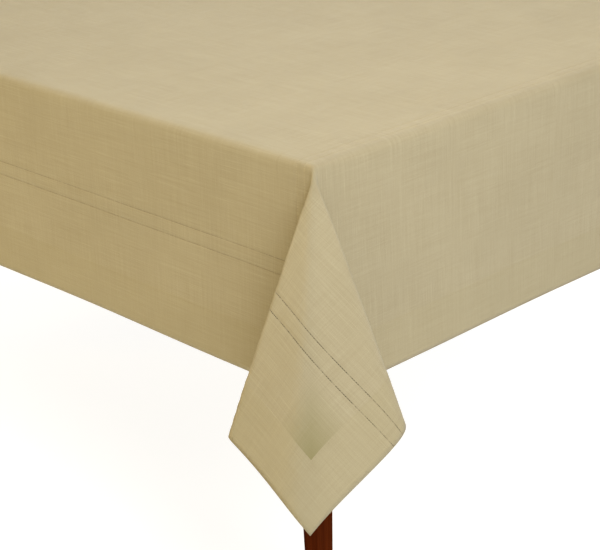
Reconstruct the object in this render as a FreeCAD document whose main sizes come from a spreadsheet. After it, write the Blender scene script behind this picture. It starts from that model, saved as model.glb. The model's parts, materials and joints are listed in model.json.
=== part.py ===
"""A rectangular dining table under a linen tablecloth, as separate pieces, in millimetres.

The table stands on the XY plane with its length along X and its width along Y, and the
origin is on the floor under its middle. The cloth's hem hangs one drop below its top face,
and its spare cloth stands out from each corner as an ear whose point hangs lower.
One corner is modelled, at +X and -Y, and the other three are its mirror images.
"""

import FreeCAD, Part
import math
import os
import re

import Sketcher

SIZES = {
    # the wooden table
    "table_length": 1575.0,
    "table_width": 1067.0,
    "table_height": 762.0,
    "top_thick": 25.0,
    "end_overhang": 39.0,
    "side_overhang": 21.0,
    "edge_round": 14.0,
    "leg_width": 46.0,
    "foot_width": 26.5,
    "leg_block": 110.0,
    "leg_flat": 14.0,
    "flat_margin": 4.0,
    "apron_depth": 90.0,
    "apron_thick": 20.0,
    "apron_setback": 6.0,
    "groove_down": 12.0,
    "groove_wide": 8.0,
    "groove_deep": 9.0,
    "rail_depth": 70.0,
    "rail_thick": 20.0,
    # corner blocks and the M8 hanger bolts that hold the legs
    "brace_near": 52.0,
    "brace_far": 89.0,
    "brace_high": 60.0,
    "brace_down": 15.0,
    "bolt_rad": 4.0,
    "thread_rad": 4.2,
    "bolt_in_leg": 28.0,
    "bolt_past_brace": 13.0,
    "bolt_step": 12.0,
    "washer_rad": 9.0,
    "washer_thick": 1.6,
    "nut_rad": 7.5,
    "nut_thick": 6.5,
    "fit_gap": 0.05,
    "washer_gap": 0.3,
    "brace_gap": 1.0,
    "drill_start": 5.0,
    # wood screws
    "screw_rad": 2.0,
    "head_rad": 4.0,
    "head_thick": 2.5,
    "bore_rad": 4.5,
    "bore_past_head": 20.0,
    "screw_bite": 15.0,
    "brace_screw_out": 70.0,
    "brace_screw_head": 14.0,
    "brace_screw_step": 20.0,
    "rail_screw_bite": 25.0,
    "rail_screw_step": 16.0,
    # buttons that hold the top down
    "button_wide": 30.0,
    "button_long": 34.0,
    "button_thick": 24.0,
    "tongue_long": 8.0,
    "tongue_thick": 7.4,
    "button_gap": 0.5,
    "button_screw_out": 20.0,
    "button_near": 240.0,
    "button_far": 560.0,
    "button_end": 200.0,
    # glides under the legs
    "glide_rad": 11.0,
    "glide_face": 9.0,
    "glide_thick": 6.0,
    "glide_bevel": 2.0,
    "nail_rad": 1.25,
    "nail_head": 3.0,
    "nail_head_thick": 1.0,
    "nail_sunk": 0.4,
    "nail_long": 22.0,
    # the cloth
    "cloth_thick": 1.0,
    "cloth_lift": 0.3,
    "cloth_gap": 1.5,
    "drop": 355.6,
    "hem_depth": 76.2,
    "line_wide": 1.2,
    "line_thick": 0.3,
    "side_line_one": 156.0,
    "side_line_two": 180.0,
    "end_line_one": 19.0,
    "end_line_two": 34.0,
}

# The ear's corners, in drops, measured from the corner where the cloth's top and two side
# planes meet: outward past the end (+X), outward past the long side (-Y), and upward.
EAR_LEFT = (-0.11, 0.42, -1.02)
EAR_TIP = (0.284, 0.375, -1.352)
EAR_RIGHT = (0.334, -0.189, -1.029)
EAR_START_DOWN = 20.0  # how far below the cloth's top face the ear starts to stand out

X_AXIS = FreeCAD.Vector(1, 0, 0)
Y_AXIS = FreeCAD.Vector(0, 1, 0)
Z_AXIS = FreeCAD.Vector(0, 0, 1)
INWARD = FreeCAD.Vector(-1, 1, 0)  # from the modelled corner to the table's middle
DIAGONAL = math.sqrt(2)
TELL_APART = 1.0  # heights further apart than this are different

# Places that several pieces share, as formulas of the sheet's cells.
HALF_X = "table_length / 2"
HALF_Y = "table_width / 2"
UNDER_TOP = "(table_height - top_thick)"
LEG_X = "(table_length / 2 - end_overhang)"  # outer faces of the legs
LEG_Y = "(table_width / 2 - side_overhang)"
APRON_X = f"({LEG_X} - apron_setback - apron_thick)"  # inner faces of the aprons
APRON_Y = f"({LEG_Y} - apron_setback - apron_thick)"
BRACE_Z = f"({UNDER_TOP} - brace_down - brace_high / 2)"
RAIL_Z = f"({UNDER_TOP} - rail_depth / 2)"
GROOVE_Z = f"({UNDER_TOP} - groove_down - groove_wide / 2)"
CLOTH_Z = "(table_height + cloth_lift + cloth_thick)"  # the cloth's top face
BEND_OUT = "(edge_round + cloth_gap + cloth_thick)"  # the bend's radii
BEND_IN = "(edge_round + cloth_gap)"
BEND_X = "(table_length / 2 - edge_round)"  # the bends' centres
BEND_Y = "(table_width / 2 - edge_round)"
BEND_Z = f"({CLOTH_Z} - {BEND_OUT})"
HEM_Z = f"({CLOTH_Z} - drop)"
FACE_X = f"({BEND_X} + {BEND_OUT})"  # the cloth's outer faces
FACE_Y = f"({BEND_Y} + {BEND_OUT})"

doc = FreeCAD.newDocument("covered_table")
sheet = doc.addObject("Spreadsheet::Sheet", "Sizes")
nodes = {}


def fill_sheet():
    for row, (alias, size) in enumerate(SIZES.items(), start=1):
        sheet.set(f"A{row}", alias)
        sheet.set(f"B{row}", str(size))
        sheet.setAlias(f"B{row}", alias)
    doc.recompute()


def bind(thing, prop, formula):
    """Ties a property to a formula whose words are the sheet's aliases."""
    text = re.sub(
        r"[a-z][a-z_]+",
        lambda word: f"Sizes.{word.group()}" if word.group() in SIZES else word.group(),
        str(formula),
    )
    thing.setExpression(prop, text)


def size(alias):
    return float(sheet.get(alias))


def place(thing, at, turn=None):
    """Puts a piece at three formulas, turned by a rotation."""
    if turn:
        thing.Placement.Rotation = turn
    for letter, formula in zip("xyz", at):
        bind(thing, f"Placement.Base.{letter}", formula)


def node(name, thing):
    """Makes an object the sub-part of that name."""
    thing.Label = name
    nodes[name] = thing
    return thing


def box(name, sides, at, turn=None):
    made = doc.addObject("Part::Box", name)
    for prop, formula in zip(("Length", "Width", "Height"), sides):
        bind(made, prop, formula)
    place(made, at, turn)
    return made


def cylinder(name, radius, length, at, along=Z_AXIS, angle=360, turn=None):
    made = doc.addObject("Part::Cylinder", name)
    bind(made, "Radius", radius)
    bind(made, "Height", length)
    made.Angle = angle
    place(made, at, turn or FreeCAD.Rotation(Z_AXIS, along))
    return made


def fused(name, things):
    made = doc.addObject("Part::MultiFuse", name)
    made.Shapes = things
    made.Refine = True
    return made


def cut(name, base, tools):
    made = doc.addObject("Part::Cut", name)
    made.Base = base
    made.Tool = tools[0] if len(tools) == 1 else fused(f"{name}_tools", tools)
    return made


def mirrored(thing, normal):
    made = doc.addObject("Part::Mirroring", f"{thing.Name}_m")
    made.Source = thing
    made.Normal = normal
    return made


def at_both(thing, normal):
    return [thing, mirrored(thing, normal)]


def at_four(thing):
    """The piece at the front right corner and its images at the other three."""
    right = at_both(thing, Y_AXIS)
    return right + [mirrored(piece, X_AXIS) for piece in right]


def corner_nodes(name, thing):
    corners = ("front_right", "back_right", "front_left", "back_left")
    for corner, piece in zip(corners, at_four(thing)):
        node(f"{name}_{corner}", piece)


def group_node(name, things):
    """Identical small pieces as one node of separate solids."""
    made = doc.addObject("Part::Compound", name)
    made.Links = things
    return node(name, made)


def polygon_body(name, plane, corners, length, at, turn=None):
    """A PartDesign body: a closed polygon of formulas on a plane, padded."""
    body = doc.addObject("PartDesign::Body", name)
    sketch = body.newObject("Sketcher::SketchObject", f"{name}_profile")
    origin = next(f for f in body.Origin.OriginFeatures if f.Role == plane)
    sketch.AttachmentSupport = [(origin, "")]
    sketch.MapMode = "FlatFace"
    count = len(corners)
    for i in range(count):  # a rough start on a circle, which the constraints then set
        start, end = (
            FreeCAD.Vector(math.cos(math.tau * k / count), math.sin(math.tau * k / count))
            for k in (i, i + 1)
        )
        sketch.addGeometry(Part.LineSegment(start, end))
    for i in range(count):
        sketch.addConstraint(Sketcher.Constraint("Coincident", i, 2, (i + 1) % count, 1))
    for i, corner in enumerate(corners):
        for kind, formula in zip(("DistanceX", "DistanceY"), corner):
            key = f"{kind}_{i}"
            made = sketch.addConstraint(Sketcher.Constraint(kind, -1, 1, i, 1, 1.0))
            sketch.renameConstraint(made, key)
            bind(sketch, f"Constraints.{key}", formula)
    pad = body.newObject("PartDesign::Pad", f"{name}_pad")
    pad.Profile = sketch
    bind(pad, "Length", length)
    place(body, at, turn)
    return body


def screw(name, head_at, along, bite_end, at_side):
    """A wood screw and the cutter of its hole. head_at and bite_end are distances along
    the screw, from where its axis crosses the plane through at_side; the head's far face
    is at head_at, and its tip is at bite_end."""
    turn = FreeCAD.Rotation(Z_AXIS, along)

    def at(distance):
        return [
            f"{start} + ({distance}) * ({part:.0f})" for start, part in zip(at_side, along)
        ]

    neck = f"{head_at} + head_thick"
    reach = f"{bite_end} - ({neck})"
    shank = cylinder(f"{name}_shank", "screw_rad", reach, at(neck), turn=turn)
    head = cylinder(f"{name}_head", "head_rad", "head_thick", at(head_at), turn=turn)
    bore = cylinder(
        f"{name}_bore", "bore_rad", "head_thick + bore_past_head",
        at(f"{head_at} - bore_past_head"), turn=turn,
    )
    return fused(name, [shank, head]), [shank, bore]


def build_table():
    holes = {"top": [], "apron_front": [], "apron_right": [], "brace": [], "leg": []}
    brace_screws, bolts, washers, nuts = [], [], [], []

    # Hanger bolts run along the corner's diagonal, from the leg through the brace.
    # A place on that line is given by its distance from the aprons' inner corner.
    flat_at = f"((2 * (leg_width - apron_setback - apron_thick) - leg_flat) / {DIAGONAL})"
    face_at = f"(brace_far / {DIAGONAL})"

    def on_diagonal(distance, height):
        step = f"({distance}) / {DIAGONAL}"
        return [f"{APRON_X} - {step}", f"-{APRON_Y} + {step}", height]

    turn = FreeCAD.Rotation(Z_AXIS, INWARD)
    for k, side in enumerate((-1, 1)):
        level = f"{BRACE_Z} + {side} * bolt_step"
        start = f"{flat_at} - bolt_in_leg"
        wood_end = cylinder(
            f"bolt_wood_{k}", "thread_rad", "bolt_in_leg", on_diagonal(start, level), turn=turn
        )
        shank = cylinder(
            f"bolt_shank_{k}", "bolt_rad", f"{face_at} + bolt_past_brace - {flat_at}",
            on_diagonal(flat_at, level), turn=turn,
        )
        bolts.append(fused(f"bolt_{k}", [wood_end, shank]))
        holes["leg"].append(wood_end)
        holes["brace"].append(
            cylinder(
                f"brace_hole_{k}", "bore_rad", "brace_far",
                on_diagonal(f"{flat_at} + brace_gap", level), turn=turn,
            )
        )
        disc = cylinder(
            f"washer_disc_{k}", "washer_rad", "washer_thick", on_diagonal(face_at, level),
            turn=turn,
        )
        inner = cylinder(
            f"washer_hole_{k}", "bolt_rad + washer_gap", "brace_far",
            on_diagonal(f"{face_at} - drill_start", level), turn=turn,
        )
        washers.append(cut(f"washer_{k}", disc, [inner]))
        hexagon = doc.addObject("Part::Prism", f"nut_hexagon_{k}")
        hexagon.Polygon = 6
        bind(hexagon, "Circumradius", "nut_rad")
        bind(hexagon, "Height", "nut_thick")
        place(hexagon, on_diagonal(f"{face_at} + washer_thick", level), turn)
        threaded = cylinder(
            f"nut_hole_{k}", "bolt_rad + fit_gap", "brace_far",
            on_diagonal(f"{face_at} - drill_start", level), turn=turn,
        )
        nuts.append(cut(f"nut_{k}", hexagon, [threaded]))

        level = f"{BRACE_Z} + {side} * brace_screw_step"
        sides = {
            "apron_front": ([f"{APRON_X} - brace_screw_out", f"-{APRON_Y}", level], -Y_AXIS),
            "apron_right": ([APRON_X, f"-{APRON_Y} + brace_screw_out", level], X_AXIS),
        }
        for apron, (start_at, along) in sides.items():
            made, cutters = screw(
                f"brace_screw_{apron}_{k}", "-brace_screw_head", along, "screw_bite", start_at
            )
            brace_screws.append(made)
            holes["brace"] += cutters
            holes[apron].append(cutters[0])

    build_leg(holes["leg"])
    brace = polygon_body(
        "corner_brace", "XY_Plane",
        [("-brace_near", 0), ("-brace_far", 0), (0, "brace_far"), (0, "brace_near")],
        "brace_high", [APRON_X, f"-{APRON_Y}", f"{BRACE_Z} - brace_high / 2"],
    )
    corner_nodes("corner_brace", cut("corner_brace_drilled", brace, holes["brace"]))
    small = {
        "hanger_bolts": bolts,
        "bolt_washers": washers,
        "bolt_nuts": nuts,
        "brace_screws": brace_screws,
    }
    for name, pieces in small.items():
        group_node(name, [copy for piece in pieces for copy in at_four(piece)])

    build_buttons(holes)
    build_rail(holes)
    build_aprons(holes)
    build_top(holes["top"])


def build_leg(bolt_holes):
    block_z = f"({UNDER_TOP} - leg_block)"
    inner_x, inner_y = f"({LEG_X} - leg_width)", f"(-{LEG_Y} + leg_width)"
    block = box(
        "leg_block_part", ["leg_width", "leg_width", "leg_block"],
        [inner_x, f"-{LEG_Y}", block_z],
    )
    # The wedge's own Y is the leg's height, and its Z is the way out to the long side.
    taper = doc.addObject("Part::Wedge", "leg_taper")
    limits = {
        "Ymin": "glide_thick", "Ymax": block_z,
        "Xmin": f"{LEG_X} - foot_width", "Xmax": LEG_X,
        "Zmin": f"{LEG_Y} - foot_width", "Zmax": LEG_Y,
        "X2min": f"{LEG_X} - leg_width", "X2max": LEG_X,
        "Z2min": f"{LEG_Y} - leg_width", "Z2max": LEG_Y,
    }
    for prop, formula in limits.items():
        bind(taper, prop, formula)
    taper.Placement.Rotation = FreeCAD.Rotation(X_AXIS, 90)
    flat = box(
        "leg_flat_cutter",
        [f"(leg_flat + 2 * flat_margin) * {DIAGONAL}", "leg_width", "leg_block"],
        [f"{inner_x} - flat_margin", f"{inner_y} - leg_flat - flat_margin", block_z],
        FreeCAD.Rotation(Z_AXIS, 45),
    )
    foot = [f"{LEG_X} - foot_width / 2", f"-{LEG_Y} + foot_width / 2"]
    shank = cylinder("nail_shank", "nail_rad", "nail_long", foot + ["nail_sunk"])
    head = cylinder("nail_head_disc", "nail_head", "nail_head_thick", foot + ["nail_sunk"])
    recess = cylinder(
        "nail_recess", "nail_head", "nail_sunk + nail_head_thick", foot + [0]
    )
    bevel = doc.addObject("Part::Cone", "glide_bevel_cone")
    for prop, formula in {
        "Radius1": "glide_face", "Radius2": "glide_rad", "Height": "glide_bevel"
    }.items():
        bind(bevel, prop, formula)
    place(bevel, foot + [0])
    disc = cylinder(
        "glide_disc", "glide_rad", "glide_thick - glide_bevel", foot + ["glide_bevel"]
    )
    leg = cut("leg_cut", fused("leg_blank", [block, taper]), bolt_holes + [flat, shank])
    glide = cut("glide_cut", fused("glide_blank", [bevel, disc]), [shank, recess])
    corner_nodes("leg", leg)
    corner_nodes("foot_glide", glide)
    group_node("glide_nails", at_four(fused("glide_nail", [shank, head])))


def build_buttons(holes):
    """Wooden buttons: a tongue in the apron's groove, and a screw up into the top."""
    low, high = f"{GROOVE_Z} - tongue_thick / 2", f"{GROOVE_Z} + tongue_thick / 2"
    base = f"{UNDER_TOP} - button_thick"
    profile = [
        ("button_gap", base), ("button_long", base), ("button_long", UNDER_TOP),
        ("button_gap", UNDER_TOP), ("button_gap", high), ("-tongue_long", high),
        ("-tongue_long", low), ("button_gap", low),
    ]
    # On a side apron the profile's outward axis is +Y; on the end apron it is -X.
    along_side = FreeCAD.Rotation(Z_AXIS, 90)
    along_end = FreeCAD.Rotation(Z_AXIS, 180)
    places = [
        ([f"{step} - button_wide / 2", f"-{APRON_Y}", 0], along_side,
         [step, f"-{APRON_Y} + button_screw_out"])
        for step in ("button_near", "button_far")
    ]
    places.append(
        ([APRON_X, "-button_end - button_wide / 2", 0], along_end,
         [f"{APRON_X} - button_screw_out", "-button_end"])
    )
    buttons, screws = [], []
    for k, (at, turn, screw_at) in enumerate(places):
        made, cutters = screw(
            f"button_screw_{k}", 0, Z_AXIS, "button_thick + screw_bite", screw_at + [base]
        )
        body = polygon_body(f"button_{k}", "XZ_Plane", profile, "button_wide", at, turn)
        buttons.append(cut(f"button_drilled_{k}", body, cutters))
        screws.append(made)
        holes["top"] += at_four(cutters[0])
    group_node("top_buttons", [copy for piece in buttons for copy in at_four(piece)])
    group_node("button_screws", [copy for piece in screws for copy in at_four(piece)])


def build_rail(holes):
    rail = box(
        "rail_blank", ["rail_thick", f"2 * {APRON_Y}", "rail_depth"],
        ["-rail_thick / 2", f"-{APRON_Y}", f"{UNDER_TOP} - rail_depth"],
    )
    screws, drills = [], []
    for k, side in enumerate((-1, 1)):
        start = [0, f"-{APRON_Y} - apron_thick", f"{RAIL_Z} + {side} * rail_screw_step"]
        made, cutters = screw(
            f"rail_screw_{k}", 0, Y_AXIS, "apron_thick + rail_screw_bite", start
        )
        screws += at_both(made, Y_AXIS)
        drills += at_both(cutters[0], Y_AXIS)
        holes["apron_front"] += cutters
    group_node("rail_screws", screws)
    node("centre_rail", cut("rail_drilled", rail, drills))


def build_aprons(holes):
    """Each apron is its grooved section, padded from leg to leg."""
    low, high = f"{GROOVE_Z} - groove_wide / 2", f"{GROOVE_Z} + groove_wide / 2"
    foot = f"{UNDER_TOP} - apron_depth"
    section = [
        (0, foot), ("apron_thick", foot), ("apron_thick", UNDER_TOP), (0, UNDER_TOP),
        (0, high), ("groove_deep", high), ("groove_deep", low), (0, low),
    ]
    side_long = f"(2 * ({LEG_X} - leg_width))"
    end_long = f"(2 * ({LEG_Y} - leg_width))"
    front = polygon_body(
        "front_apron_blank", "XZ_Plane", section, side_long,
        [f"{side_long} / 2", f"-{APRON_Y}", 0], FreeCAD.Rotation(Z_AXIS, -90),
    )
    right = polygon_body(
        "right_apron_blank", "XZ_Plane", section, end_long,
        [APRON_X, f"{end_long} / 2", 0],
    )
    front_holes = [
        hole for cutter in holes["apron_front"] for hole in at_both(cutter, X_AXIS)
    ]
    right_holes = [
        hole for cutter in holes["apron_right"] for hole in at_both(cutter, Y_AXIS)
    ]
    front_cut = cut("front_apron", front, front_holes)
    right_cut = cut("right_apron", right, right_holes)
    for name, piece in zip(("apron_front", "apron_back"), at_both(front_cut, Y_AXIS)):
        node(name, piece)
    for name, piece in zip(("apron_right", "apron_left"), at_both(right_cut, X_AXIS)):
        node(name, piece)


def build_top(holes):
    """The solid top, its upper edges and corners rounded."""
    body = polygon_body(
        "top_blank", "XY_Plane",
        [(0, 0), ("table_length", 0), ("table_length", "table_width"), (0, "table_width")],
        "top_thick", [f"-{HALF_X}", f"-{HALF_Y}", UNDER_TOP],
    )
    doc.recompute()
    pad = body.Tip
    rounded = []
    for number, edge in enumerate(pad.Shape.Edges, start=1):
        heights = [vertex.Z for vertex in edge.Vertexes]
        upright = max(heights) - min(heights) > TELL_APART
        if upright or min(heights) > size("top_thick") - TELL_APART:
            rounded.append(f"Edge{number}")
    fillet = body.newObject("PartDesign::Fillet", "top_edges")
    fillet.Base = (pad, rounded)
    bind(fillet, "Radius", "edge_round")
    node("table_top", cut("top_drilled", body, holes))


def quarter_ring(name, length, at, turn):
    """A quarter of a tube as thick as the cloth, from its own X round to its own Y."""
    outer = cylinder(f"{name}_outer", BEND_OUT, length, at, angle=90, turn=turn)
    inner = cylinder(f"{name}_inner", BEND_IN, length, at, angle=90, turn=turn)
    return cut(name, outer, [inner])


def thread_strips():
    """The stitched lines, flush in channels where threads are drawn out of the cloth: a
    pair low on the front side, and a pair on the top beside the right end."""
    side_lines = [
        box(
            f"{down}_strip", [f"2 * {BEND_X}", "line_thick", "line_wide"],
            [f"-{BEND_X}", f"-{FACE_Y}", f"{CLOTH_Z} - {down} - line_wide / 2"],
        )
        for down in ("side_line_one", "side_line_two")
    ]
    end_lines = [
        box(
            f"{inside}_strip", ["line_wide", f"2 * {BEND_Y}", "line_thick"],
            [f"{FACE_X} - {inside} - line_wide / 2", f"-{BEND_Y}", f"{CLOTH_Z} - line_thick"],
        )
        for inside in ("end_line_one", "end_line_two")
    ]
    return side_lines, end_lines


def build_cloth():
    """The cloth's flat top, its four drops and the hem turned up inside each drop."""
    side_lines, end_lines = thread_strips()
    panel = box(
        "cloth_top_panel", [f"2 * {BEND_X}", f"2 * {BEND_Y}", "cloth_thick"],
        [f"-{BEND_X}", f"-{BEND_Y}", f"{CLOTH_Z} - cloth_thick"],
    )
    both_ends = [copy for strip in end_lines for copy in at_both(strip, X_AXIS)]
    both_sides = [copy for strip in side_lines for copy in at_both(strip, Y_AXIS)]
    node("cloth_top", cut("cloth_top_channelled", panel, both_ends))
    group_node("thread_lines", both_sides + both_ends)

    straight = f"{BEND_Z} - {HEM_Z}"
    plain_front = fused("front_drop", [
        quarter_ring("front_bend", f"2 * {BEND_X}", [f"-{BEND_X}", f"-{BEND_Y}", BEND_Z],
                     FreeCAD.Rotation(Z_AXIS, -Y_AXIS, X_AXIS)),
        box("front_straight", [f"2 * {BEND_X}", "cloth_thick", straight],
            [f"-{BEND_X}", f"-{FACE_Y}", HEM_Z]),
    ])
    front = cut("front_drop_channelled", plain_front, side_lines)
    right = fused("right_drop", [
        quarter_ring("right_bend", f"2 * {BEND_Y}", [BEND_X, f"-{BEND_Y}", BEND_Z],
                     FreeCAD.Rotation(Z_AXIS, X_AXIS, Y_AXIS)),
        box("right_straight", ["cloth_thick", f"2 * {BEND_Y}", straight],
            [f"{FACE_X} - cloth_thick", f"-{BEND_Y}", HEM_Z]),
    ])
    front_hem = box(
        "front_hem", [f"2 * {BEND_X}", "cloth_thick", "hem_depth"],
        [f"-{BEND_X}", f"-{FACE_Y} + cloth_thick", HEM_Z],
    )
    right_hem = box(
        "right_hem", ["cloth_thick", f"2 * {BEND_Y}", "hem_depth"],
        [f"{FACE_X} - 2 * cloth_thick", f"-{BEND_Y}", HEM_Z],
    )
    for kind, side, end in (("drop", front, right), ("hem", front_hem, right_hem)):
        for name, piece in zip(("front", "back"), at_both(side, Y_AXIS)):
            node(f"cloth_{kind}_{name}", piece)
        for name, piece in zip(("right", "left"), at_both(end, X_AXIS)):
            node(f"cloth_{kind}_{name}", piece)
    corner_nodes("cloth_ear", build_ear(straight))


def ear_sides(corner):
    """The ear's four flat sides, each a triangle of cloth from one point on the corner.
    Each is cut back from the corner and from the sides before it, so that none overlap."""
    thick = size("cloth_thick")
    bend = size("edge_round") + size("cloth_gap") + thick
    meet = FreeCAD.Vector(
        size("table_length") / 2 - size("edge_round") + bend,
        -(size("table_width") / 2 - size("edge_round") + bend),
        size("table_height") + size("cloth_lift") + thick,
    )
    in_wall = (bend - thick / 2) / DIAGONAL - bend

    def out(x, y, up):
        return meet + FreeCAD.Vector(x, -y, up)

    start = out(in_wall, in_wall, -EAR_START_DOWN)
    below = out(in_wall, in_wall, -size("drop"))
    left, tip, right = (
        out(*(part * size("drop") for part in point))
        for point in (EAR_LEFT, EAR_TIP, EAR_RIGHT)
    )
    inside = (start + below + left + tip + right) / 5
    sides = []
    for a, b in ((below, left), (left, tip), (tip, right), (right, below)):
        normal = (a - start).cross(b - start).normalize()
        if normal.dot(inside - start) < 0:
            normal = -normal
        face = Part.Face(Part.makePolygon([start, a, b, start]))
        rest = face.extrude(normal * thick).cut([corner] + sides)
        sides.append(max(rest.Solids, key=lambda solid: solid.Volume))
    made = doc.addObject("Part::Feature", "ear_sides")
    made.Shape = Part.makeCompound(sides)
    return made


def build_ear(straight):
    """The cloth's rounded corner with the ear that stands out from it."""
    turn = FreeCAD.Rotation(-Y_AXIS, X_AXIS, Z_AXIS)
    domes = []
    for name, radius in (("dome_outer", BEND_OUT), ("dome_inner", BEND_IN)):
        dome = doc.addObject("Part::Sphere", name)
        dome.Angle1, dome.Angle2, dome.Angle3 = 0, 90, 90
        bind(dome, "Radius", radius)
        place(dome, [BEND_X, f"-{BEND_Y}", BEND_Z], turn)
        domes.append(dome)
    wall = quarter_ring("corner_wall", straight, [BEND_X, f"-{BEND_Y}", HEM_Z], turn)
    corner = fused("rounded_corner", [cut("corner_dome", domes[0], domes[1:]), wall])
    doc.recompute()
    ear = doc.addObject("Part::Compound", "ear")
    ear.Links = [corner, ear_sides(corner.Shape)]
    return ear


def write_nodes():
    """Checks every object, then writes each sub-part's shape to its own file."""
    doc.recompute()
    failed = [o.Name for o in doc.Objects if {"Invalid", "Error"} & set(o.State)]
    wrong = [
        name
        for name, thing in nodes.items()
        if thing.Shape.isNull() or not thing.Shape.isValid() or not thing.Shape.Solids
    ]
    if failed or wrong:
        raise RuntimeError(f"failed objects {failed}, wrong shapes {wrong}")
    os.makedirs("parts", exist_ok=True)
    for name, thing in nodes.items():
        thing.Shape.exportStep(f"parts/{name}.step")
        print(f"{name}: {len(thing.Shape.Solids)} solids, {thing.Shape.Volume / 1000:.1f} cm3")


fill_sheet()
build_table()
build_cloth()
write_nodes()
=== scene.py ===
"""A linen tablecloth draped over a wooden dining table.

The cloth is one continuous sheet. It is described flat, by p along the table and q across
it, in metres from the cloth's middle, and sharp_drape() folds it over the table: flat on
top, plane on the four drops, and at each corner a cone of folds, the ear. drape() softens
that shape the way cloth bends. Hems, stitches and thread lines are laid on the same shape.
"""

import json
import math

import bpy
import numpy as np
from mathutils import Matrix, Vector


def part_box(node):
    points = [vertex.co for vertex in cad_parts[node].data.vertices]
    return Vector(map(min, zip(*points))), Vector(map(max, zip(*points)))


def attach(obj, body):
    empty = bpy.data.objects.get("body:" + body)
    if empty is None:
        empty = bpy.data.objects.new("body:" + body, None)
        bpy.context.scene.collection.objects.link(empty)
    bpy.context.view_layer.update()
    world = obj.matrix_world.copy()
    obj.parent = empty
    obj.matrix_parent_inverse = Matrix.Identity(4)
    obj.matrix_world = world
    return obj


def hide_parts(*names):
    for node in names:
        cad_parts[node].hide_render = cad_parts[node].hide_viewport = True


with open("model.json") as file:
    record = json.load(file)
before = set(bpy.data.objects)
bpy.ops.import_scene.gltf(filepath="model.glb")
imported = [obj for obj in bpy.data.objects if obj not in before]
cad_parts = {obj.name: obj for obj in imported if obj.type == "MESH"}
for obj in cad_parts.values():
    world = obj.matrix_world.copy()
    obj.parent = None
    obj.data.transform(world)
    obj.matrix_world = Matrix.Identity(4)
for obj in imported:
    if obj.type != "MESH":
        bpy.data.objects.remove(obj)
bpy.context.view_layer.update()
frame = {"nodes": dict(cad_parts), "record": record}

# Sizes read from the frame: the cloth's side planes, its top and its hanging drop.
FACE_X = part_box("cloth_drop_right")[1].x
FACE_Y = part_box("cloth_drop_back")[1].y
TOP_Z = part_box("cloth_top")[1].z
DROP = TOP_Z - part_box("cloth_drop_front")[0].z
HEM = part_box("cloth_hem_front")[1].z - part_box("cloth_hem_front")[0].z
HALF_P = FACE_X + DROP
HALF_Q = FACE_Y + DROP

# Thread lines: how far the side pair is below the edge, and the end pair inside it.
SIDE_LINES = (0.156, 0.180)
END_LINES = (0.019, 0.034)
LINE_WIDE = 0.0012

CLOTH_THICK = 0.001
EDGE_SOFTNESS = 0.0105  # spread of the smoothing at the table's edge, and away from it
FOLD_SOFTNESS = 0.0042
SOFT_REACH = 0.035
CORNER_SOFTNESS, CORNER_REACH = 0.0045, 0.045

# An ear's folds, round the corner from the side drop to the end drop: the angle of each on
# the flat cloth, in degrees from the side's neck, where it goes from the corner for each
# unit of cloth, as (outward past the end, outward past the side, up), and how far its bend
# spreads, in degrees.
EAR = (
    (17.4, (-0.108, 0.394, -0.954), 1.2),
    (45.0, (0.196, 0.263, -0.918), 5.0),
    (69.8, (0.318, -0.186, -0.953), 4.0),
)
NECK = (math.sin(math.radians(1.5)), math.cos(math.radians(1.5)))  # back under the edge, down
NECK_SPREAD, PLANE_SPREAD = 2.5, 0.5
SLACK, SLACK_REACH = 0.0147, 0.006  # how far an ear slips down its corner, and over what

SIDES = ("front", "back", "right", "left")
CORNERS = ("front_right", "back_right", "front_left", "back_left")

LADDER_PITCH = 0.004
STITCH_PITCH = 0.007
THREAD_PITCH = 0.0011
BUNDLE_PITCH = 0.0036
MITRE_REACH = 0.085  # how far the painted shade in the single layer spreads from the mitre's inner corner
WEAVE_RELIEF, GRAIN_RELIEF = 0.00022, 0.00012
SLUB_CONTRAST = (0.385, 0.615)  # the sums of the layers below that come out dark and light
# Slubs and shade: how often each varies along and across the cloth, per metre, and its share.
LINEN_SLUBS = (
    ((7, 700), 0.34), ((600, 8), 0.24), ((11, 260), 0.14), ((220, 12), 0.12), ((5, 5), 0.16),
)

# Colours, as linear red, green and blue.
LINEN_LIGHT, LINEN_DARK = (0.434, 0.370, 0.232), (0.350, 0.289, 0.168)
# The hem colour is painted shade on the double hem band low on every drop, and the mitre colour
# is painted shade in the single layer near each mitre.
HEM_PAINTED_SHADE, MITRE_PAINTED_SHADE = (0.350, 0.290, 0.150), (0.225, 0.195, 0.075)
LINE_SHADOW = (0.060, 0.042, 0.018)
THREAD_LIGHT, THREAD_DARK = (0.420, 0.350, 0.215), (0.300, 0.245, 0.140)
STAIN_DARK, STAIN_LIGHT = (0.034, 0.005, 0.001), (0.10, 0.018, 0.003)
PLAIN_DARK, PLAIN_LIGHT = (0.40, 0.26, 0.14), (0.58, 0.41, 0.24)

# Lights: name, place, aim, size, power in watts and colour.
WORLD_LIGHT = 0.05
BACKDROP = 0.90  # how bright the floor and the world look where no light falls
FLOOR_GREY = 0.30
LIGHTS = [
    ("key", (3.4, -1.3, 2.9), (0.6, -0.3, 0.6), 2.0, 142, (1.0, 1.0, 0.97)),
    ("overhead", (0.4, 0.0, 3.6), (0.3, -0.1, 0.7), 3.2, 68, (1.0, 0.98, 0.98)),
    ("warm_fill", (-4.0, -5.2, 2.2), (0.5, -0.6, 0.6), 2.4, 232, (1.0, 0.70, 0.06)),
    ("back_fill", (-3.4, 3.4, 2.6), (-0.3, 0.2, 0.5), 3.0, 130, (1.0, 1.0, 0.98)),
]


# ---------------------------------------------------------------- the shape of the drape


def unit(vectors):
    return vectors / np.linalg.norm(vectors, axis=-1, keepdims=True)


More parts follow.
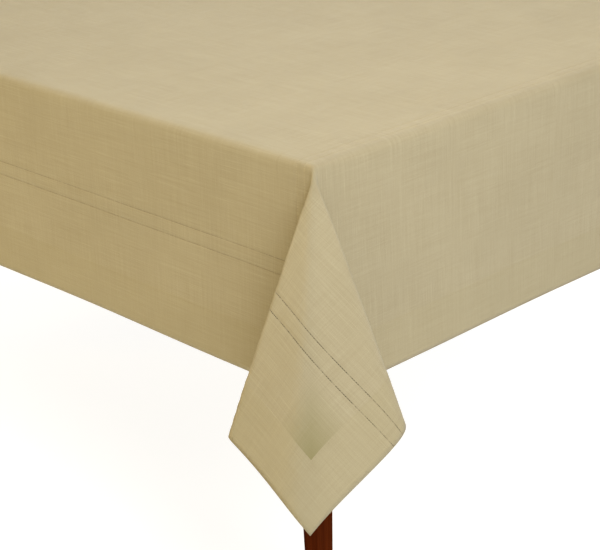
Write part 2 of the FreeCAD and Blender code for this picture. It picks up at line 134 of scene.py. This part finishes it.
def turned(start, end, part):
    """From one vector to another, evenly in both direction and length."""
    long_start, long_end = np.linalg.norm(start), np.linalg.norm(end)
    angle = math.acos(np.dot(start, end) / (long_start * long_end))
    way = np.sin((1 - part) * angle) * start / long_start + np.sin(part * angle) * end / long_end
    return way / math.sin(angle) * (long_start + (long_end - long_start) * part)


def fold_table(ear):
    """By angle on the flat cloth, where the cloth goes from the corner, per unit of cloth."""
    stops = [(-90, (-1, 0, 0), PLANE_SPREAD), (0, (-NECK[0], 0, -NECK[1]), NECK_SPREAD)]
    stops += [*ear, (90, (0, -NECK[0], -NECK[1]), NECK_SPREAD), (180, (0, -1, 0), PLANE_SPREAD)]
    angles = np.linspace(-105, 195, 1201)
    way = np.zeros((len(angles), 3))
    for i, (start, end) in enumerate(zip(stops, stops[1:])):
        low = -math.inf if i == 0 else start[0]
        high = math.inf if i == len(stops) - 2 else end[0]
        here = (angles >= low) & (angles <= high)
        part = (angles[here, None] - start[0]) / (end[0] - start[0])
        way[here] = turned(np.array(start[1], float), np.array(end[1], float), part)
    spread = np.interp(angles, [stop[0] for stop in stops], [stop[2] for stop in stops])
    soft = np.zeros_like(way)
    for shift, weight in zip(*bell(2.5, 21)):
        for k in range(3):
            soft[:, k] += weight * np.interp(angles + shift * spread, angles, way[:, k])
    return np.radians(angles), soft


def bell(reach, count):
    """Evenly spaced steps and their share of a bell curve."""
    steps = np.linspace(-reach, reach, count)
    weights = np.exp(-(steps**2) / 2)
    return steps, weights / weights.sum()


def varied(*shifts):
    """The same ear hanging a little differently, by how much each fold moves."""
    return [
        (degrees, np.array(way) + shift, spread)
        for (degrees, way, spread), shift in zip(EAR, shifts)
    ]


FOLDS = {  # by the signs of p and q
    (1, -1): fold_table(EAR),
    (1, 1): fold_table(varied((0.02, -0.03, 0), (-0.05, 0.03, 0), (-0.03, 0.03, 0))),
    (-1, -1): fold_table(varied((-0.03, 0.01, 0), (0.04, -0.06, 0), (-0.04, -0.02, 0))),
    (-1, 1): fold_table(varied((0.04, 0.02, 0), (0.01, 0.05, 0), (0.02, -0.03, 0))),
}


def sharp_drape(p, q):
    """Where a point of the flat cloth hangs, with every fold sharp."""
    u, v = np.abs(p) - FACE_X, np.abs(q) - FACE_Y  # how far past the end and the side
    place = np.stack([FACE_X + u, FACE_Y + v, np.zeros_like(u)], axis=-1)
    hangs = (u > 0) | (v > 0)
    angle = np.arctan2(u, v)
    reach = np.hypot(u, v)
    slack = SLACK * np.clip(np.sin(2 * angle), 0, 1) * (1 - np.exp(-((reach / SLACK_REACH) ** 2)))
    reach = reach + slack
    for (sign_p, sign_q), (angles, ways) in FOLDS.items():
        here = hangs & (np.where(p < 0, -1, 1) == sign_p) & (np.where(q < 0, -1, 1) == sign_q)
        way = np.stack([np.interp(angle[here], angles, ways[:, k]) for k in range(3)], axis=-1)
        place[here] = np.array((FACE_X, FACE_Y, 0)) + reach[here, None] * way
    return place * np.stack([np.sign(p), np.sign(q), np.ones_like(p)], axis=-1) + (0, 0, TOP_Z)


def softness(p, q):
    u, v = np.abs(p) - FACE_X, np.abs(q) - FACE_Y
    past = np.where((u > 0) & (v > 0), np.hypot(u, v), np.abs(np.maximum(u, v)))
    corner = np.exp(-((np.hypot(u, v) / CORNER_REACH) ** 2))
    edge = EDGE_SOFTNESS + (CORNER_SOFTNESS - EDGE_SOFTNESS) * corner
    return FOLD_SOFTNESS + (edge - FOLD_SOFTNESS) * np.exp(-((past / SOFT_REACH) ** 2))


def soft_drape(p, q):
    """sharp_drape averaged over a small round patch of the cloth about each point."""
    spread = softness(p, q)
    total = np.zeros(p.shape + (3,))
    for du, wu in zip(*bell(2.2, 11)):
        for dv, wv in zip(*bell(2.2, 11)):
            total += wu * wv * sharp_drape(p + du * spread, q + dv * spread)
    return total


def ripple(p, q):
    """How far the cloth stands off its ideal shape, outward: slow waves low on the drops."""
    u, v = np.abs(p) - FACE_X, np.abs(q) - FACE_Y
    low = np.clip(np.maximum(u, v) / DROP, 0, 1) ** 1.6
    wave = (
        np.sin(5.3 * p + 1.1) * np.cos(4.1 * q + 0.4)
        + 0.6 * np.sin(11.7 * p - 2.0 + 3 * q)
        + 0.5 * np.sin(13.9 * q + 1.7 - 2 * p)
    )
    return 0.0016 * low * wave


def smooth_step(value, width):
    part = np.clip(value / width * 0.5 + 0.5, 0, 1)
    return part * part * (3 - 2 * part)


def hem_share(p, q):
    """1 where the cloth is double, 0 where it is single."""
    inside = np.minimum(HALF_P - np.abs(p), HALF_Q - np.abs(q))
    return 1 - smooth_step(inside - HEM, 0.003)


def line_share(p, q):
    """1 along the drawn-thread lines."""
    gaps = [np.abs(np.abs(q) - FACE_Y - down) for down in SIDE_LINES]
    gaps += [np.abs(np.abs(p) - FACE_X + inside) for inside in END_LINES]
    return 1 - smooth_step(np.minimum.reduce(gaps) - LINE_WIDE * 0.7, LINE_WIDE * 0.4)


def drape(p, q, out=0.0):
    """The cloth's outer face, or the face that far out from it."""
    step = 0.0015
    middle = soft_drape(p, q)
    normal = unit(np.cross(soft_drape(p + step, q) - middle, soft_drape(p, q + step) - middle))
    rise = out + ripple(p, q) + 0.0005 * hem_share(p, q) - 0.0003 * line_share(p, q)
    return middle + rise[..., None] * normal


# ---------------------------------------------------------------- meshes


def add_mesh(name, points, faces, flat=None):
    mesh = bpy.data.meshes.new(name)
    mesh.from_pydata(np.asarray(points).tolist(), [], np.asarray(faces).tolist())
    mesh.polygons.foreach_set("use_smooth", np.ones(len(mesh.polygons), bool))
    if flat is not None:
        layer = mesh.uv_layers.new(name="flat")
        corner = np.zeros(len(mesh.loops), np.int32)
        mesh.loops.foreach_get("vertex_index", corner)
        layer.data.foreach_set("uv", np.asarray(flat)[corner].astype(np.float32).ravel())
    made = bpy.data.objects.new(name, mesh)
    bpy.context.scene.collection.objects.link(made)
    return made


def grid_faces(rows, columns):
    i, j = np.meshgrid(np.arange(rows - 1), np.arange(columns - 1), indexing="ij")
    first = i * columns + j
    return np.stack([first, first + columns, first + columns + 1, first + 1], -1).reshape(-1, 4)


def shell(made, thick):
    """Gives a sheet its thickness, inward from its outer face."""
    solid = made.modifiers.new("thickness", "SOLIDIFY")
    solid.thickness, solid.offset, solid.use_even_offset = thick, -1, False


def grid_lines(face, half, lines):
    """Places of the mesh's lines across the cloth: close together where it bends, at the
    hem and at the thread lines."""
    near, step, close = 0.040, 0.0055, 0.0035
    spots = list(np.arange(0, face - near, 0.045))
    spots += list(np.arange(face - near, face + near, close))
    spots += list(np.arange(face + near, half - 0.003, step)) + [half]
    spots = np.array(spots)
    features = [half - HEM + d for d in (-0.002, 0, 0.002)]
    features += [line + d * LINE_WIDE for line in lines for d in (-0.9, -0.5, 0.5, 0.9)]
    keep = [s for s in spots if min(abs(s - f) for f in features) > 0.0018 or s == half]
    positive = np.array(sorted(keep + features))
    return np.concatenate([-positive[:0:-1], positive])


def make_cloth():
    p_lines = grid_lines(FACE_X, HALF_P, [FACE_X - d for d in END_LINES])
    q_lines = grid_lines(FACE_Y, HALF_Q, [FACE_Y + d for d in SIDE_LINES])
    p, q = (a.ravel() for a in np.meshgrid(p_lines, q_lines, indexing="ij"))
    made = add_mesh(
        "tablecloth", drape(p, q), grid_faces(len(p_lines), len(q_lines)), np.stack([p, q], -1)
    )
    shell(made, CLOTH_THICK)
    return made


def make_hem(name, side):
    """The layer turned up inside one drop, mitred at both ends. side is front, back, left
    or right."""
    along_p = side in ("front", "back")
    sign = 1 if side in ("back", "right") else -1
    face = FACE_X if along_p else FACE_Y
    rows = np.linspace(DROP, DROP - HEM, 12)
    middle = np.linspace(-1, 1, 240)
    down, part = np.meshgrid(rows, middle, indexing="ij")
    run = part * (face + down)
    across = sign * ((FACE_Y if along_p else FACE_X) + down)
    p, q = (run, across) if along_p else (across, run)
    p, q = p.ravel(), q.ravel()
    faces = grid_faces(len(rows), len(middle))
    if (along_p and sign < 0) or (not along_p and sign > 0):
        faces = faces[:, ::-1]
    made = add_mesh(name, drape(p, q, -CLOTH_THICK * 1.1), faces, np.stack([p, q], -1))
    shell(made, CLOTH_THICK * 0.9)
    return made


def bars(name, spots, directions, long, wide, high):
    """Small thread bars lying on the cloth, each across or along its line of stitching.
    spots and directions are flat: where each bar's middle is and which way it runs."""
    spots, directions = np.asarray(spots), np.asarray(directions)
    aside = directions[:, ::-1] * (1, -1)
    outline = [(-0.5, 0), (-0.3, 0.5), (0.3, 0.5), (0.5, 0), (0.3, -0.5), (-0.3, -0.5)]
    rings = []
    for grow, lift in ((1.0, 0.0), (0.6, high)):
        for along, across in outline:
            at = spots + directions * along * long * grow + aside * across * wide * grow
            rings.append(drape(at[:, 0], at[:, 1], lift))
    points = np.stack(rings, axis=1)
    count = len(outline)
    walls = [(k, (k + 1) % count, (k + 1) % count + count, k + count) for k in range(count)]
    caps = [(6, 7, 8, 9), (6, 9, 10, 11)]
    faces = np.array([w[::-1] for w in walls] + [c[::-1] for c in caps])
    start = np.arange(len(spots))[:, None, None] * 2 * count
    flat = np.repeat(spots, 2 * count, axis=0)
    return add_mesh(name, points.reshape(-1, 3), (faces + start).reshape(-1, 4), flat)


def line_spots(half, pitch):
    return np.arange(-half + pitch / 2, half, pitch)


def make_ladder():
    """The bundles of threads left standing across each drawn-thread line."""
    spots, directions = [], []
    for sign in (-1, 1):
        for down in SIDE_LINES:
            for p in line_spots(HALF_P, LADDER_PITCH):
                spots.append((p, sign * (FACE_Y + down)))
                directions.append((0, 1))
        for inside in END_LINES:
            for q in line_spots(HALF_Q, LADDER_PITCH):
                spots.append((sign * (FACE_X - inside), q))
                directions.append((1, 0))
    return bars("drawn_thread_ladder", spots, directions, 0.0026, 0.0009, 0.0003)


def make_hem_stitches():
    """The short stitches that catch the hem, just inside its turned edge."""
    spots, directions = [], []
    inset = HEM - 0.0025
    for sign in (-1, 1):
        for p in line_spots(HALF_P - inset, STITCH_PITCH):
            spots.append((p, sign * (HALF_Q - inset)))
            directions.append((1, 0))
        for q in line_spots(HALF_Q - inset, STITCH_PITCH):
            spots.append((sign * (HALF_P - inset), q))
            directions.append((0, 1))
    return bars("hem_stitches", spots, directions, 0.0022, 0.0006, 0.0002)


# ---------------------------------------------------------------- materials


class Paint:
    """A material's node tree, with short ways to add to it."""

    def __init__(self, name, roughness, **settings):
        self.material = bpy.data.materials.new(name)
        self.material.use_nodes = True
        self.tree = self.material.node_tree
        self.shader = self.tree.nodes["Principled BSDF"]
        self.shader.inputs["Roughness"].default_value = roughness
        for key, value in settings.items():
            self.shader.inputs[key.replace("_", " ")].default_value = value

    def node(self, kind, settings=(), **inputs):
        made = self.tree.nodes.new(kind)
        for key, value in dict(settings).items():
            setattr(made, key, value)
        for key, value in inputs.items():
            socket = made.inputs[int(key[1:]) if key[1:].isdigit() else key.replace("_", " ")]
            if isinstance(value, bpy.types.NodeSocket):
                self.tree.links.new(value, socket)
            else:
                socket.default_value = value
        return made

    def math(self, operation, first, second=0.0, third=0.0):
        settings = {"operation": operation}
        return self.node("ShaderNodeMath", settings, i0=first, i1=second, i2=third).outputs[0]

    def between(self, value, low, high):
        """0 at low and 1 at high, and no less or more."""
        made = self.node("ShaderNodeMapRange", Value=value, From_Min=low, From_Max=high)
        return made.outputs[0]

    def clamped(self, value):
        return self.node("ShaderNodeClamp", Value=value).outputs[0]

    def scaled(self, vector, scale):
        settings = {"operation": "MULTIPLY"}
        return self.node("ShaderNodeVectorMath", settings, i0=vector, i1=scale).outputs[0]

    def noise(self, vector, scale, detail=2.0, roughness=0.5):
        made = self.node(
            "ShaderNodeTexNoise", Vector=self.scaled(vector, scale), Scale=1.0, Detail=detail,
            Roughness=roughness,
        )
        return made.outputs["Fac"]

    def mix(self, factor, first, second, blend="MIX"):
        settings = {"data_type": "RGBA", "blend_type": blend}
        made = self.node("ShaderNodeMix", settings, i0=factor)
        for socket, value in ((made.inputs[6], first), (made.inputs[7], second)):
            if isinstance(value, bpy.types.NodeSocket):
                self.tree.links.new(value, socket)
            else:
                socket.default_value = (*value, 1)
        return made.outputs[2]

    def ramp(self, value, stops):
        made = self.node("ShaderNodeValToRGB", Fac=value)
        marks = made.color_ramp.elements
        while len(marks) < len(stops):
            marks.new(0.5)
        for mark, (position, colour) in zip(marks, stops):
            mark.position, mark.color = position, (*colour, 1)
        return made.outputs[0]

    def colour(self, value):
        self.tree.links.new(value, self.shader.inputs["Base Color"])

    def bump(self, height, distance, strength=1.0):
        made = self.node("ShaderNodeBump", Height=height, Distance=distance, Strength=strength)
        self.tree.links.new(made.outputs[0], self.shader.inputs["Normal"])


def woven(paint, flat, pitch, wander):
    """Height of a plain weave of that thread spacing: each crossing a bump, every other one
    higher, and the gaps between threads at 0."""
    split = paint.node("ShaderNodeSeparateXYZ", Vector=flat).outputs
    waves, rounds = [], []
    for value in split[:2]:
        turn = paint.math("MULTIPLY", paint.math("ADD", value, wander), math.pi / pitch)
        waves.append(paint.math("SINE", turn))
        rounds.append(paint.math("POWER", paint.math("ABSOLUTE", waves[-1]), 0.6))
    crossing = paint.math("MULTIPLY", *rounds)
    return paint.math("MULTIPLY_ADD", paint.math("MULTIPLY", *waves), 0.35, crossing)


def linen(name, light, dark, lines=False):
    """Plain-woven linen with slubs. The cloth's flat coordinates, in metres, drive it."""
    paint = Paint(name, 0.85, Sheen_Weight=0.15, Sheen_Roughness=0.5, Specular_IOR_Level=0.2)
    flat = paint.node("ShaderNodeUVMap", {"uv_map": "flat"}).outputs[0]
    slubs = 0.0
    for scale, share in LINEN_SLUBS:
        layer = paint.noise(flat, (*scale, 0), 3, 0.6)
        slubs = paint.math("MULTIPLY_ADD", layer, share, slubs)
    colour = paint.mix(paint.between(slubs, *SLUB_CONTRAST), dark, light)

    # Single thick threads, here and there, a little lighter or darker than the rest.
    for scale, low, tone in ((14, 900), 0.66, light), ((1000, 14), 0.67, dark):
        thick = paint.between(paint.noise(flat, (*scale, 0), 1), low, low + 0.06)
        colour = paint.mix(paint.math("MULTIPLY", thick, 0.6), colour, [c * 1.12 for c in tone])

    wander = paint.math("MULTIPLY", paint.noise(flat, (30, 30, 0), 1), 0.004)
    weave = woven(paint, flat, THREAD_PITCH, wander)
    # Painted shade: the gaps between threads are darkened.
    gaps = paint.clamped(paint.math("MULTIPLY_ADD", weave, -2.2, 1.0))
    colour = paint.mix(paint.math("MULTIPLY", gaps, 0.45), colour, [c * 0.55 for c in dark])

    # Bundles of uneven threads make a coarser check, which shows in patches, and its hollows get
    # painted shade.
    check = woven(paint, flat, BUNDLE_PITCH, paint.math("MULTIPLY", wander, 2.0))
    shows = paint.between(paint.noise(flat, (9, 9, 0), 2), 0.47, 0.63)
    shaded_hollows = paint.clamped(paint.math("MULTIPLY_ADD", check, -1.6, 1.0))
    shaded_hollows = paint.math("MULTIPLY", shaded_hollows, shows)
    colour = paint.mix(paint.math("MULTIPLY", shaded_hollows, 0.15), colour, [c * 0.7 for c in dark])

    # Painted shadow along the side lines, a painted highlight along the end lines, and painted
    # shade on the hem band and near the mitres.
    if lines:
        colour = lines_and_hem(paint, flat, colour, [c * 1.3 for c in light])
    paint.colour(colour)
    paint.bump(paint.math("MULTIPLY_ADD", slubs, 0.8, weave), WEAVE_RELIEF)
    return paint.material


def lines_and_hem(paint, flat, colour, painted_line_highlight):
    """Adds the drawn-thread lines, with painted shadow along the side pair and a painted
    highlight along the end pair, painted shade on the double hem band, and painted shade in the
    single layer near each mitre.
    """
    split = paint.node("ShaderNodeSeparateXYZ", Vector=flat).outputs
    p, q = (paint.math("ABSOLUTE", value) for value in split[:2])
    # A noise breaks the lines' painted shadow and painted highlight into dashes.
    patchy_line_paint = paint.between(paint.noise(flat, (160, 160, 0), 2), 0.30, 0.56)
    sides = paint.math("SUBTRACT", q, FACE_Y)
    ends = paint.math("SUBTRACT", FACE_X, p)
    # The side lines gape in the ears, where the cloth hangs on the bias, so their painted shadow
    # is deeper there.
    gaping = paint.between(p, FACE_X - 0.05, FACE_X + 0.05)
    side_depth = paint.math("MULTIPLY_ADD", gaping, 0.55, 0.35)
    for offset, spots, depth, tone in (
        (sides, SIDE_LINES, side_depth, LINE_SHADOW), (ends, END_LINES, 0.35, painted_line_highlight)
    ):
        for spot in spots:
            near = paint.math("COMPARE", offset, spot, LINE_WIDE / 2)
            near = paint.math("MULTIPLY", near, patchy_line_paint)
            colour = paint.mix(paint.math("MULTIPLY", near, depth), colour, tone)
    inside = [paint.math("SUBTRACT", half, at) for half, at in ((HALF_P, p), (HALF_Q, q))]
    double = paint.math("LESS_THAN", paint.math("MINIMUM", *inside), HEM)
    # Painted shade: the double hem band, low on every drop, is mixed toward a darker colour.
    colour = paint.mix(paint.math("MULTIPLY", double, 0.22), colour, HEM_PAINTED_SHADE)
    # Painted shade: the single layer near each mitre's inner corner is darkened, where the dark
    # under the cloth shows through.
    mitre = paint.between(paint.math("MAXIMUM", *inside), HEM + MITRE_REACH, HEM)
    single = paint.math("SUBTRACT", 1.0, double)
    shade = paint.math("MULTIPLY", paint.math("MULTIPLY", mitre, single), 0.80)
    return paint.mix(shade, colour, MITRE_PAINTED_SHADE)


def wood(name, along, dark, light, roughness, coat):
    """Wood with its grain along an axis, 0, 1 or 2, from long thin streaks and pores."""
    paint = Paint(name, roughness, Coat_Weight=coat, Coat_Roughness=0.25, Specular_IOR_Level=0.0)
    place = paint.node("ShaderNodeTexCoord").outputs["Object"]

    def stretch(across, length):
        return [length if axis == along else across for axis in range(3)]

    wavy = paint.noise(place, stretch(9, 1.2), 2)
    sway = paint.node("ShaderNodeCombineXYZ", X=wavy, Y=wavy, Z=wavy).outputs[0]
    bent = paint.node(
        "ShaderNodeVectorMath", {"operation": "ADD"}, i0=place,
        i1=paint.scaled(sway, stretch(0.05, 0)),
    ).outputs[0]
    bands = paint.noise(bent, stretch(75, 2.2), 3, 0.55)
    pores = paint.noise(place, stretch(900, 28), 2)
    patches = paint.noise(place, stretch(12, 3), 2)
    share = paint.math(
        "ADD", paint.math("MULTIPLY", bands, 0.7), paint.math("MULTIPLY", patches, 0.3)
    )
    between = [(a + b) / 2 for a, b in zip(dark, light)]
    colour = paint.ramp(share, [(0.36, dark), (0.50, between), (0.66, light)])
    pits = paint.clamped(paint.math("MULTIPLY", paint.math("SUBTRACT", 0.42, pores), 5.0))
    colour = paint.mix(paint.math("MULTIPLY", pits, 0.6), colour, [c * 0.4 for c in dark])
    paint.colour(colour)
    height = paint.math("SUBTRACT", paint.math("MULTIPLY", bands, 0.3), pits)
    paint.bump(height, GRAIN_RELIEF)
    return paint.material


def metal(name, colour, metallic, roughness, grit):
    """Plated or moulded: a fine mottle in colour and surface."""
    paint = Paint(name, roughness, Metallic=metallic)
    place = paint.node("ShaderNodeTexCoord").outputs["Object"]
    mottle = paint.noise(place, (grit, grit, grit), 3, 0.6)
    paint.colour(paint.ramp(mottle, [(0.35, [c * 0.8 for c in colour]), (0.65, colour)]))
    paint.bump(mottle, 0.00008)
    return paint.material


# ---------------------------------------------------------------- camera, lights and floor


def add_camera():
    """The viewpoint, measured in drops from the cloth's near corner."""
    azimuth, pitch, roll = math.radians(46.43), math.radians(22.13), math.radians(-2.14)
    distance = 6.621
    aside, above = 0.00782, 0.06241  # the corner's way off the middle of the view, as slopes
    back = Vector((
        math.sin(azimuth) * math.cos(pitch), -math.cos(azimuth) * math.cos(pitch), math.sin(pitch)
    ))
    level = Vector((0, 0, 1)).cross(back).normalized()
    upright = back.cross(level)
    right = level * math.cos(roll) + upright * math.sin(roll)
    up = upright * math.cos(roll) - level * math.sin(roll)
    offset = back - right * aside - up * above
    place = Vector((FACE_X, -FACE_Y, TOP_Z)) + DROP * distance * offset
    data = bpy.data.cameras.new("camera")
    data.sensor_width, data.lens = 36, 104.41
    camera = bpy.data.objects.new("camera", data)
    turn = Matrix((right, up, back)).transposed().to_4x4()
    camera.matrix_world = Matrix.Translation(place) @ turn
    bpy.context.scene.collection.objects.link(camera)
    bpy.context.scene.camera = camera


def add_light(name, place, aim, size, power, colour):
    data = bpy.data.lights.new(name, "AREA")
    data.shape, data.size, data.energy, data.color = "DISK", size, power, colour
    lamp = bpy.data.objects.new(name, data)
    lamp.location = place
    lamp.rotation_euler = (Vector(aim) - Vector(place)).to_track_quat("-Z", "Y").to_euler()
    bpy.context.scene.collection.objects.link(lamp)


def add_surroundings():
    world = bpy.data.worlds.new("studio")
    world.use_nodes = True
    tree = world.node_tree
    background = tree.nodes["Background"]
    background.inputs["Color"].default_value = (1, 1, 1, 1)
    # The backdrop is as pale as the floor to look at, but lights the table less.
    seen = tree.nodes.new("ShaderNodeLightPath").outputs["Is Camera Ray"]
    strength = tree.nodes.new("ShaderNodeMapRange")
    strength.inputs["To Min"].default_value = WORLD_LIGHT
    strength.inputs["To Max"].default_value = BACKDROP
    tree.links.new(seen, strength.inputs["Value"])
    tree.links.new(strength.outputs[0], background.inputs["Strength"])
    bpy.context.scene.world = world
    half = 20.0
    floor = add_mesh(
        "floor", [(-half, -half, 0), (half, -half, 0), (half, half, 0), (-half, half, 0)],
        [(0, 1, 2, 3)],
    )
    paint = Paint("pale_floor", 0.9, Specular_IOR_Level=0.1)
    paint.shader.inputs["Base Color"].default_value = (FLOOR_GREY, FLOOR_GREY, FLOOR_GREY, 1)
    paint.shader.inputs["Emission Color"].default_value = (1, 1, 0.99, 1)
    paint.shader.inputs["Emission Strength"].default_value = BACKDROP
    floor.data.materials.append(paint.material)
    for light in LIGHTS:
        add_light(*light)
    bpy.context.scene.view_settings.view_transform = "Standard"


# ---------------------------------------------------------------- putting it together


def dress(piece, paint):
    piece.data.materials.append(paint)
    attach(piece, "tablecloth")
    return piece


def build_tablecloth():
    weave = linen("linen_weave", LINEN_LIGHT, LINEN_DARK, lines=True)
    thread = linen("linen_thread", THREAD_LIGHT, THREAD_DARK)
    cloth = dress(make_cloth(), weave)
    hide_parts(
        "cloth_top", *("cloth_drop_" + side for side in SIDES),
        *("cloth_ear_" + corner for corner in CORNERS),
    )
    for side in SIDES:
        hem = dress(make_hem("hem_" + side, side), weave)
        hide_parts("cloth_hem_" + side)
    ladder = dress(make_ladder(), thread)
    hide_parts("thread_lines")
    stitches = dress(make_hem_stitches(), thread)


def paint_table():
    woods = (
        ("stained_wood", STAIN_DARK, STAIN_LIGHT, 0.45, 0.01),
        ("plain_wood", PLAIN_DARK, PLAIN_LIGHT, 0.7, 0.0),
    )
    finishes = {
        slot: [wood(f"{slot}_{axis}", axis, *look) for axis in range(3)] for slot, *look in woods
    }
    finishes["zinc_steel"] = [metal("zinc_steel", (0.62, 0.62, 0.60), 1.0, 0.38, 900)] * 3
    finishes["glide_nylon"] = [metal("glide_nylon", (0.035, 0.028, 0.024), 0.0, 0.55, 1500)] * 3
    for part in frame["record"]["subparts"]:
        finish = finishes.get(part["material_slot"])
        if finish:
            low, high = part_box(part["node"])
            size = high - low
            longest = max(range(3), key=lambda k: size[k])
            mesh = frame["nodes"][part["node"]].data
            mesh.materials.clear()
            mesh.materials.append(finish[longest])


add_camera()
add_surroundings()
build_tablecloth()
paint_table()
